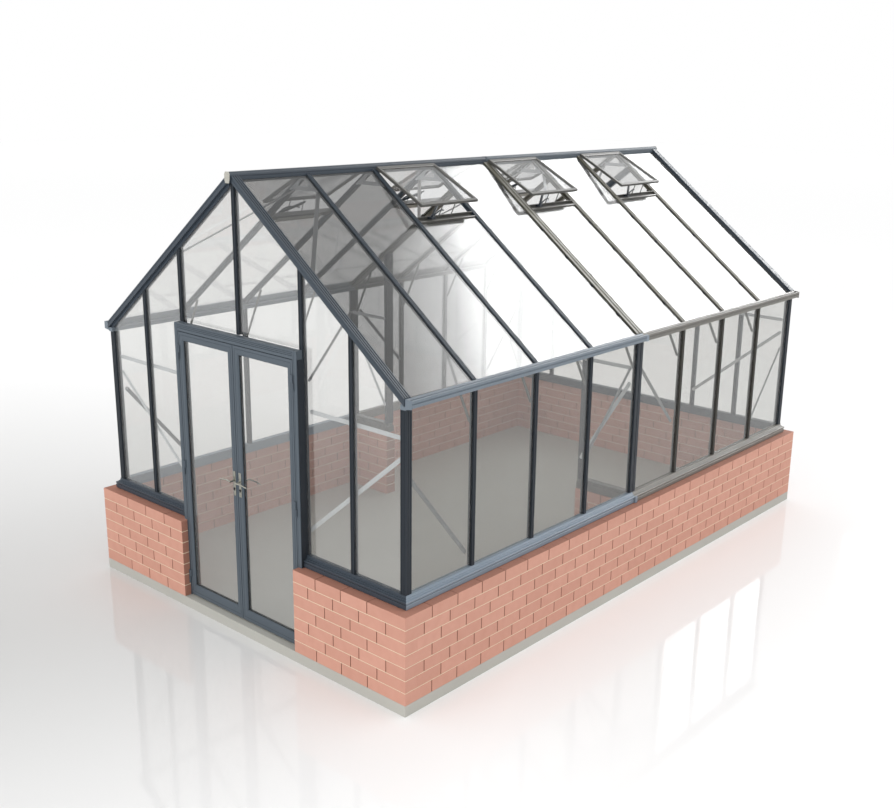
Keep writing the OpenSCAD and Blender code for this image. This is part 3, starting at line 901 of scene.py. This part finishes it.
def joint_covers(lift):
    """Cover plates over the middle joints of the gutters and of the side sills."""
    shape = bmesh.new()
    over_gutter = (GUTTER[1].x - 3 * MM, GUTTER[1].x + 1 * MM, 16 * MM,
                   GUTTER[0].z + 17 * MM, lift + 3 * MM)
    over_sill = (WALL_X - 50 * MM, GLAZE_X + SILL_OUT + 1 * MM, 14 * MM,
                 WALL_TOP + 4 * MM, WALL_TOP + 51 * MM)
    for side in (-1, 1):
        for near, far, half, z0, z1 in (over_gutter, over_sill):
            x0, x1 = sorted((side * near, side * far))
            block(shape, (x0, -half, z0), (x1, half, z1), 0.5 * MM)
    piece("joint_covers", shape, [FRONT_SILL])


# --- Braces, vents and clips ---------------------------------------------------------------


def bar_under(x):
    """Height of the underside of the roof bars over x."""
    return roof_z(x) - ROOF_DEPTH


# Ends of the two diagonals in a quarter of a side wall: Y from the middle, and over the sill.
SIDE_DIAGONALS = (((-GLAZE_Y + 70 * MM, 720 * MM), (-GLAZE_Y + BAY - 29 * MM, 84 * MM)),
                  ((-50 * MM, 980 * MM), (-BAY + 40 * MM, 420 * MM)))


def wall_straps():
    """Flat diagonals and ties inside the walls, bolted at each end."""
    shape = bmesh.new()
    thick = STRAP_THICK * MM
    post, door_bar = GLAZE_X - 48 * MM, DOOR_POST_X
    tie, head, foot = SILL_TOP + 969 * MM, SILL_TOP + 859 * MM, SILL_TOP + 156 * MM
    for sx in (-1, 1):
        for sy in (-1, 1):
            start = Vector((sx * (BRACE_X + thick), 0, SILL_TOP))
            for diagonal in SIDE_DIAGONALS:
                upper, lower = [start + NORTH * -sy * y + UP * z for y, z in diagonal]
                strap(shape, upper, lower, EAST * -sx, slot=1)
            y = sy * (BRACE_Y + thick)
            strap(shape, Vector((sx * post, y, tie)), Vector((sx * (door_bar + 30 * MM), y, tie)),
                  NORTH * -sy)
            strap(shape, Vector((sx * (post - 10 * MM), y, head)),
                  Vector((sx * (door_bar + 5 * MM), y, foot)), NORTH * -sy)
        y, outer = -BAR_W - 5 * MM, GLAZE_X - BAR_D
        strap(shape, Vector((sx * outer, y, tie)), Vector((sx * MID_X, y, tie)), -NORTH)
        strap(shape, Vector((sx * (outer - 9 * MM), y, head)),
              Vector((sx * (MID_X + 4 * MM), y, foot + 14 * MM)), -NORTH)
    piece("wall_straps", shape, [SILVER, SIDE_BRACE], stands_for=["wall_braces"])


def roof_straps():
    """Long diagonals under the roof bars, from near the ridge to near the eaves."""
    shape = bmesh.new()
    upper, lower = 150 * MM, 860 * MM
    for side in (-1, 1):
        down, out = slope_axes(side)
        start = Vector((0, 0, APEX - ROOF_DEPTH - 5 * MM)) + out * STRAP_THICK * MM
        for along in (-1, 1):
            for far, near in ((GLAZE_Y - BAY, GLAZE_Y - 58 * MM), (BAY, 24 * MM)):
                strap(shape, start + down * upper + NORTH * along * far,
                      start + down * lower + NORTH * along * near, -out)
    piece("roof_straps", shape, [SILVER], stands_for=["roof_braces"])


def knee_straps():
    """Short braces across each corner between a wall bar and its roof bar."""
    shape = bmesh.new()
    inside = GLAZE_X - BAR_D
    drop, reach = 215 * MM, 206 * MM
    for side in (-1, 1):
        for y in SINGLES + [0]:
            low = Vector((side * (inside - 11 * MM), y - 2 * MM, BAR_TOP - drop))
            x = inside - reach
            high = Vector((side * x, y - 2 * MM, bar_under(x) - 14 * MM))
            strap(shape, low, high, NORTH, 22, 4)
    piece("knee_straps", shape, [STAY], stands_for=["knee_braces"])


def gusset_bolts():
    """Four bolts in each gusset plate under the ridge."""
    shape = bmesh.new()
    plate = 4 * MM
    for y in SINGLES + [-BAR_W / 2 - plate]:
        for x in (-130, -96, 96, 130):
            at = Vector((x * MM, y - BAR_W / 2 - plate, roof_z(x * MM) - 34 * MM))
            bolt(shape, at, -NORTH)
    piece("gusset_bolts", shape, [SILVER])


def vent_places():
    """Side of the ridge and middle Y of each vent."""
    for k in range(1, BAYS - 1):
        yield (1 if k % 2 == 0 else -1), -GLAZE_Y + (k + 0.5) * BAY


def vent_section(width):
    """Across a vent member from its outer edge to the glass, and back from its face."""
    w = width + 3
    return [(0, -20), (0, -1), (1, 0), (w - 9, 0), (w - 8, -2), (w - 1, -3.5), (w, -4.5),
            (w, -7.5), (8, -7.5), (8, -12.5), (w - 3, -12.5), (w - 3, -17), (w - 6, -20)]


def vents():
    """Thin mitred frames, cross rails under their feet, drip plates and closing gear."""
    sides = (26 * MM, 22 * MM, 26 * MM, 22 * MM)
    plate_half = 210 * MM
    frames, rails, gear = bmesh.new(), bmesh.new(), bmesh.new()
    rail = [(-24, 2), (-21, 2), (-21, -25), (21, -25), (21, -6), (14, -6), (14, -3), (24, -3),
            (24, -28), (-24, -28)]
    plate = [(-22, -34), (22, -34), (24, -32), (24, -30), (21, -30), (21, -31), (-22, -31)]
    for side, y in vent_places():
        level = Vector((side * math.cos(VENT_TILT), 0, -math.sin(VENT_TILT)))
        out = Vector((side * math.sin(VENT_TILT), 0, math.cos(VENT_TILT)))
        corner = Vector((side * VENT_X0, y - VENT_WIDE / 2, VENTS[1].z))
        framed(frames, corner, NORTH, level, out, (VENT_WIDE, VENT_LONG), sides, vent_section)
        down, up = slope_axes(side)
        centre = on_roof(side, (RAIL_X0 + RAIL_X1) / 2, y)
        half = BAY / 2 - 20 * MM
        join(rails, extrusion(rail, centre - NORTH * half, down, up, NORTH * 2 * half))
        start = centre - NORTH * plate_half + down * 18 * MM
        join(rails, extrusion(plate, start, down, up, NORTH * 2 * plate_half), 1)
        foot = corner + level * (VENT_LONG - 13 * MM) - out * 20 * MM
        closing_gear(gear, centre, foot, down, up)
    piece("vent_frames_dressed", frames, [STAY], stands_for=["vent_frames"])
    piece("vent_rails_dressed", rails, [STAY, END_CAP], stands_for=["vent_rails"])
    piece("vent_gear", gear, [DARK, STAY], stands_for=["vent_stays"])


def closing_gear(shape, rail, foot, down, up):
    """A wax cylinder on the rail, its bowed arm, and two thin links to the vent's foot."""
    seat = rail - NORTH * 170 * MM + up * 6 * MM
    block_at(shape, seat, 20 * MM, 8 * MM)
    end = seat - down * 110 * MM + NORTH * 150 * MM + up * 8 * MM
    rod(shape, seat + up * 10 * MM, end, 10 * MM, 0, 20, 2 * MM)
    rod(shape, end, end + (end - seat).normalized() * 22 * MM, 6 * MM, 0, 16, 1 * MM)
    steps, span = 8, NORTH * 160 * MM - down * 50 * MM
    bow = [seat + up * (10 + 26 * math.sin(math.pi * t / steps)) * MM + span * (t / steps)
           for t in range(steps + 1)]
    for a, b in zip(bow, bow[1:]):
        rod(shape, a, b, 5 * MM, 0, 10)
    for along in (200 * MM, 330 * MM):
        start = rail + NORTH * (along - 300 * MM) + up * 3 * MM
        rod(shape, start, foot + NORTH * (along + 40 * MM), 3.5 * MM, 1, 10)


def block_at(shape, at, half, height):
    """A small block centred on a point."""
    low = at - Vector((half, half, height))
    block(shape, low, at + Vector((half, half, height)), 1 * MM)


# X places of the clips, and how far those of the doubled bar sit off its middle.
CLIP_PLACES = (0.62, 0.86, 1.10, 1.34)
PAIR_SHIFT = 21 * MM


def roof_clips():
    """Glazing clips gripping the panes beside the rear roof bars."""
    shape = bmesh.new()
    outline = [(19.5, -14), (33, -14), (33, -8), (27, -2), (19.5, -2)]
    for side in (-1, 1):
        down, out = slope_axes(side)
        for y in [0] + [y for y in SINGLES if y > 0]:
            inset = PAIR_SHIFT if y == 0 else 0
            for x in CLIP_PLACES:
                at = on_roof(side, x, y - inset)
                join(shape, extrusion(outline, at, -NORTH, out, down * 26 * MM))
    piece("roof_clips", shape, [RUBBER])


# --- Doors ---------------------------------------------------------------------------------

JAMB_WIDE = 36
JAMB_IN = LEAF[1].x + LEAF_GAP
# Heights of the grooves in the face of the head, in millimetres over its underside.
HEAD_GROOVES = (20, 31, 42)
LEAF_THICK = (LEAF[1].y - FACE_Y) / MM
# Hinge pins stand off the face of the doors by their own radius.
PIN = 7 * MM
HINGE_X = LEAF[1].x + 2.5 * MM
HINGE_Y = FACE_Y - PIN
KNUCKLE = 50 * MM


def door_frame():
    """Jambs and a ribbed head, with the fixed half of each hinge."""
    shape = bmesh.new()
    depth = (-GLAZE_Y - 1 * MM - FACE_Y) / MM
    jamb = [(0, 0), (8, 0), (9.5, -2), (12, -2), (13.5, 0), (JAMB_WIDE, 0), (JAMB_WIDE, -depth),
            (0, -depth), (0, -16), (4, -16), (4, -12), (0, -12)]
    outer = JAMB_IN + JAMB_WIDE * MM
    for side in (-1, 1):
        at = Vector((side * JAMB_IN, FACE_Y, SLAB_TOP))
        join(shape, extrusion(jamb, at, EAST * side, -NORTH, UP * (FRAME[1].z - SLAB_TOP)))
        # A dark sealing strip on the jamb's outer side.
        x0, x1 = sorted((side * (outer - 0.5 * MM), side * (outer + 1.5 * MM)))
        block(shape, (x0, FACE_Y + 4 * MM, WALL_TOP + 2 * MM),
              (x1, -GLAZE_Y - 2 * MM, HEAD_BOTTOM), 0.3 * MM, 1)
    high = (FRAME[1].z - HEAD_BOTTOM) / MM
    rib = [(0, 0), (0, 16)]
    for z in HEAD_GROOVES:
        rib += [(0, z), (-4, z + 1), (-4, z + 3), (0, z + 4)]
    rib += [(0, high - 2), (-2, high), (-depth, high), (-depth, 0)]
    start = Vector((-JAMB_IN, FACE_Y, HEAD_BOTTOM))
    join(shape, extrusion(rib, start, -NORTH, UP, EAST * 2 * JAMB_IN))
    gap = 1 * MM
    for x, z in hinge_places():
        knuckle(shape, x, z - gap - KNUCKLE, z - gap)
    piece("door_surround", shape, [DOOR, DARK], stands_for=["door_frame"])


def hinge_places():
    """X and height of the middle of each hinge, three to a leaf."""
    inset = 150 * MM
    heights = (SLAB_TOP + inset, (SLAB_TOP + HEAD_BOTTOM) / 2, HEAD_BOTTOM - inset)
    return [(side * HINGE_X, z) for side in (-1, 1) for z in heights]


def knuckle(shape, x, z0, z1):
    """The half of a hinge that the jamb carries."""
    rod(shape, Vector((x, HINGE_Y, z0)), Vector((x, HINGE_Y, z1)), PIN, 0, 24, 1 * MM)
    side = math.copysign(1, x)
    low_x, high_x = sorted((x, x + side * 12 * MM))
    block(shape, (low_x, HINGE_Y - 2.5 * MM, z0), (high_x, FACE_Y + 0.5 * MM, z1), 0.6 * MM)


def leaf_section(width):
    """Across a leaf member from its outer edge to the glass, and back from its face."""
    w, t = width, LEAF_THICK
    return [(0, -1), (1, 0), (w * 0.3, 0), (w * 0.3 + 1, -2.2), (w * 0.3 + 3, -2.2),
            (w * 0.3 + 4, 0), (w - 9, 0), (w - 8, -1.5), (w - 1.5, -4), (w, -6),
            (w, -t + 6), (w - 1.5, -t + 4), (w - 8, -t + 1.5), (w - 9, -t), (1, -t), (0, -t + 1)]


def leaf(side):
    """One glazed leaf: mitred sections, gaskets, and the moving half of its hinges."""
    label = "right" if side > 0 else "left"
    low, high = LEAF[0], LEAF[1]
    clear = 0.5 * MM
    glass_low = DOOR_GLASS[0] - Vector((clear, 0, clear))
    glass_high = DOOR_GLASS[1] + Vector((clear, 0, clear))
    shape = bmesh.new()
    widths = (glass_low.z - low.z, high.x - glass_high.x, high.z - glass_high.z,
              glass_low.x - low.x)
    size = (high.x - low.x, high.z - low.z)
    framed(shape, Vector((low.x, FACE_Y, low.z)), EAST, UP, -NORTH, size, widths, leaf_section)
    gasket = (2 * MM,) * 4
    size = (glass_high.x - glass_low.x, glass_high.z - glass_low.z)
    for depth in (12 * MM, 24 * MM):
        corner = Vector((glass_low.x, FACE_Y + depth, glass_low.z))
        framed(shape, corner, EAST, UP, -NORTH, size, gasket, gasket_section, 1)
    for x, z in hinge_places():
        if x > 0:
            hinge_arm(shape, x, z, high.x)
    if side < 0:
        shape = flip(shape, "X")
    piece("door_leaf_" + label + "_dressed", shape, [DOOR, RUBBER], "door_" + label,
          stands_for=["door_leaf_" + label])


def gasket_section(width):
    """A thin lip that holds the glass."""
    return [(0, 0), (width - 0.5, 0), (width, -1), (width, -6), (0, -6)]


def hinge_arm(shape, x, z, edge):
    """The half of a hinge that the leaf carries, with a cap on the pin."""
    top = Vector((x, HINGE_Y, z + KNUCKLE))
    rod(shape, Vector((x, HINGE_Y, z)), top, PIN, 0, 24, 1 * MM)
    rod(shape, top, top + UP * 3 * MM, 4.5 * MM, 0, 16, 1 * MM)
    block(shape, (edge - 14 * MM, HINGE_Y - 2.5 * MM, z), (x, FACE_Y + 0.5 * MM, top.z), 0.6 * MM)


def handles(side):
    """Back plates with a lock cylinder, and a waved lever on each face."""
    label = "right" if side > 0 else "left"
    x = (PLATES[0].x + PLATES[1].x) / 2
    lever_z = (LEVER[0].z + LEVER[1].z) / 2
    plate = 5 * MM
    shape = bmesh.new()
    for y, out in ((FACE_Y, -NORTH), (LEAF[1].y, NORTH)):
        low_y, high_y = sorted((y, y + out.y * plate))
        block(shape, (PLATES[0].x, low_y, PLATES[0].z), (PLATES[1].x, high_y, PLATES[1].z),
              1.6 * MM)
        face = Vector((x, y + out.y * plate, lever_z))
        tube(shape, face, out, 8.2 * MM, 11.5 * MM, 3 * MM)
        lock = face - UP * 58 * MM
        rod(shape, lock, lock + out * 2 * MM, 8.5 * MM, 1, 24, 0.6 * MM)
        foot = lock - UP * 10 * MM
        rod(shape, foot, foot + out * 1.6 * MM, 5 * MM, 1, 16, 0.4 * MM)
        for z in (PLATES[0].z + 12 * MM, PLATES[1].z - 12 * MM):
            screw(shape, Vector((x, face.y, z)), out, 4 * MM, 1.5 * MM)
    if side < 0:
        shape = flip(shape, "X")
    piece("handle_plates_" + label + "_dressed", shape, [CHROME, RUBBER],
          "door_" + label, stands_for=["handle_plates_" + label])
    shape = bmesh.new()
    near, far = LEVER[0].y + 6 * MM, LEVER[1].y - 6 * MM
    rod(shape, Vector((x, near, lever_z)), Vector((x, far, lever_z)), 6 * MM, 0, 24)
    for y in (near, far):
        lever(shape, x, y, lever_z)
    if side < 0:
        shape = flip(shape, "X")
    piece("lever_" + label + "_dressed", shape, [CHROME], "handle_" + label,
          stands_for=["lever_" + label])


def tube(shape, at, out, inner, outer, height):
    """A short collar round an opening."""
    part = bmesh.new()
    bmesh.ops.create_circle(part, cap_ends=False, segments=24, radius=inner)
    rim = part.edges[:]
    wide = bmesh.ops.extrude_edge_only(part, edges=rim)["geom"]
    verts = [g for g in wide if isinstance(g, bmesh.types.BMVert)]
    bmesh.ops.scale(part, vec=(outer / inner, outer / inner, 1), verts=verts)
    bmesh.ops.solidify(part, geom=part.faces[:], thickness=height)
    turn = out.to_track_quat("Z", "Y").to_matrix().to_4x4()
    bmesh.ops.recalc_face_normals(part, faces=part.faces)
    lows = min(v.co.z for v in part.verts)
    bmesh.ops.translate(part, vec=(0, 0, -lows), verts=part.verts)
    bmesh.ops.transform(part, matrix=Matrix.Translation(at) @ turn, verts=part.verts)
    join(shape, part)


def lever(shape, x, y, z):
    """A lever grip swept in a shallow wave away from its spindle, tapered to a curled tip."""
    steps = 20
    reach = LEVER[1].x - x - 2 * MM
    part = bmesh.new()
    ring = bmesh.ops.create_circle(part, cap_ends=True, segments=12, radius=6 * MM)["verts"]
    bmesh.ops.rotate(part, cent=(0, 0, 0), matrix=Matrix.Rotation(math.pi / 2, 3, "Y"), verts=ring)
    bmesh.ops.translate(part, vec=(x - 5 * MM, y, z), verts=ring)
    tip = part.faces[:]
    height = 0.0
    for step in range(1, steps + 1):
        share = step / steps
        wave = 5 * MM * math.sin(share * math.pi * 1.6) * share
        grown = bmesh.ops.extrude_face_region(part, geom=tip)["geom"]
        bmesh.ops.delete(part, geom=tip, context="FACES_ONLY")
        verts = [g for g in grown if isinstance(g, bmesh.types.BMVert)]
        tip = [g for g in grown if isinstance(g, bmesh.types.BMFace)]
        bmesh.ops.translate(part, vec=((reach + 5 * MM) / steps, 0, wave - height), verts=verts)
        height = wave
        centre = sum((v.co for v in verts), Vector()) / len(verts)
        shrink = 0.985 if step < steps - 1 else 0.7
        bmesh.ops.scale(part, vec=(1, shrink, shrink), verts=verts,
                        space=Matrix.Translation(-centre))
    join(shape, part)


# --- Camera, light and floor ---------------------------------------------------------------


def camera():
    """A camera out beyond the right front corner, a little higher than the ridge."""
    place = (5.7997, -6.9317, 3.7007)
    yaw, down, roll = (math.radians(a) for a in (41.64, 15.90, 0.69))
    data = bpy.data.cameras.new("camera")
    data.lens = 45.17
    data.sensor_width = 36.0
    data.clip_end = 200
    eye = bpy.data.objects.new("camera", data)
    level = Vector((-math.sin(yaw), math.cos(yaw), 0))
    ahead = level * math.cos(down) - UP * math.sin(down)
    right = Vector((math.cos(yaw), math.sin(yaw), 0))
    up = right.cross(ahead)
    across = right * math.cos(roll) + up * math.sin(roll)
    top = up * math.cos(roll) - right * math.sin(roll)
    turn = Matrix((across, top, -ahead)).transposed().to_4x4()
    eye.matrix_world = Matrix.Translation(place) @ turn
    bpy.context.scene.collection.objects.link(eye)
    bpy.context.scene.camera = eye


def panel(name, at, aim, size, power, seen_by="all"):
    """A light panel, which can be kept out of reflections or off the surfaces."""
    data = bpy.data.lights.new(name, "AREA")
    data.shape = "RECTANGLE"
    data.size, data.size_y = size
    data.energy = power
    lamp = bpy.data.objects.new(name, data)
    lamp.location = at
    lamp.rotation_euler = (Vector(aim) - Vector(at)).to_track_quat("-Z", "Y").to_euler()
    lamp.visible_camera = False
    lamp.visible_diffuse = seen_by != "reflections"
    lamp.visible_glossy = seen_by != "surfaces"
    bpy.context.scene.collection.objects.link(lamp)


def studio():
    """White surroundings, soft fills, and a card that the roof glass mirrors."""
    scene = bpy.context.scene
    scene.view_settings.view_transform = "Standard"
    scene.view_settings.look = "None"
    world = bpy.data.worlds.new("studio")
    world.use_nodes = True
    sky = world.node_tree.nodes["Background"]
    sky.inputs["Color"].default_value = (1, 1, 1, 1)
    sky.inputs["Strength"].default_value = 1.0
    scene.world = world
    panel("front_fill", (-1.5, -13, 2.4), (0, 0, 1.2), (7, 3.5), 300, "surfaces")
    panel("floor_light", (8, 1, 9), (7, 1, 0), (6, 10), 165, "surfaces")
    panel("roof_card", (3.45, 14, 10.55), (3.45, 0, 10.55), (11.1, 11.1), 4400, "reflections")
    panel("card_edge", (3.45, 14, 16.6), (3.45, 0, 16.6), (11.1, 1), 125, "reflections")
    panel("card_fade", (4.25, 14, 17.6), (4.25, 0, 17.6), (9.5, 1), 70, "reflections")


def studio_floor():
    """A glossy white floor, greyed towards the front left by a painted shadow of the building."""
    mesh = bpy.data.meshes.new("studio_floor")
    sheet = bmesh.new()
    bmesh.ops.create_grid(sheet, x_segments=1, y_segments=1, size=60)
    sheet.to_mesh(mesh)
    sheet.free()
    f = Finish("floor_gloss_painted_shade", Roughness=0.05, IOR=1.45)
    east, north = f.axis("X") + 1.5, f.axis("Y") + 4.5
    away = (east * east + north * north) ** 0.5
    # The base colour darkens towards the front left: a painted shadow standing in for the
    # building's soft shade on the floor.
    f.set("Base Color", f.mix(away * 0.2 + east * 0.07 - 0.1, (0.6, 0.6, 0.592, 1), (1, 1, 1, 1)))
    mesh.materials.append(f.material)
    floor = bpy.data.objects.new("studio_floor", mesh)
    bpy.context.scene.collection.objects.link(floor)


camera()
studio()
studio_floor()
brickwork()
sills()
side_bars()
gable_bars()
corner_posts()
roof_bars()
verges()
ridge()
gutters()
wall_straps()
roof_straps()
knee_straps()
gusset_bolts()
vents()
roof_clips()
door_frame()
for hand in (-1, 1):
    leaf(hand)
    handles(hand)

for finish, nodes in ((CONCRETE, ["floor_slab"]),
                      (GLASS, ["glass_side_left", "glass_rear", "glass_roof_left"]),
                      (FRONT_GLASS, ["glass_front", "door_glass_left", "door_glass_right"]),
                      (SIDE_GLASS, ["glass_side_right"]),
                      (ROOF_GLASS, ["glass_roof_right"]),
                      (VENT_GLASS, ["vent_glass"]),
                      (SILVER, ["ridge_gussets"]),
                      (DARK, ["mid_posts"])):
    for node in nodes:
        dress(node, finish)
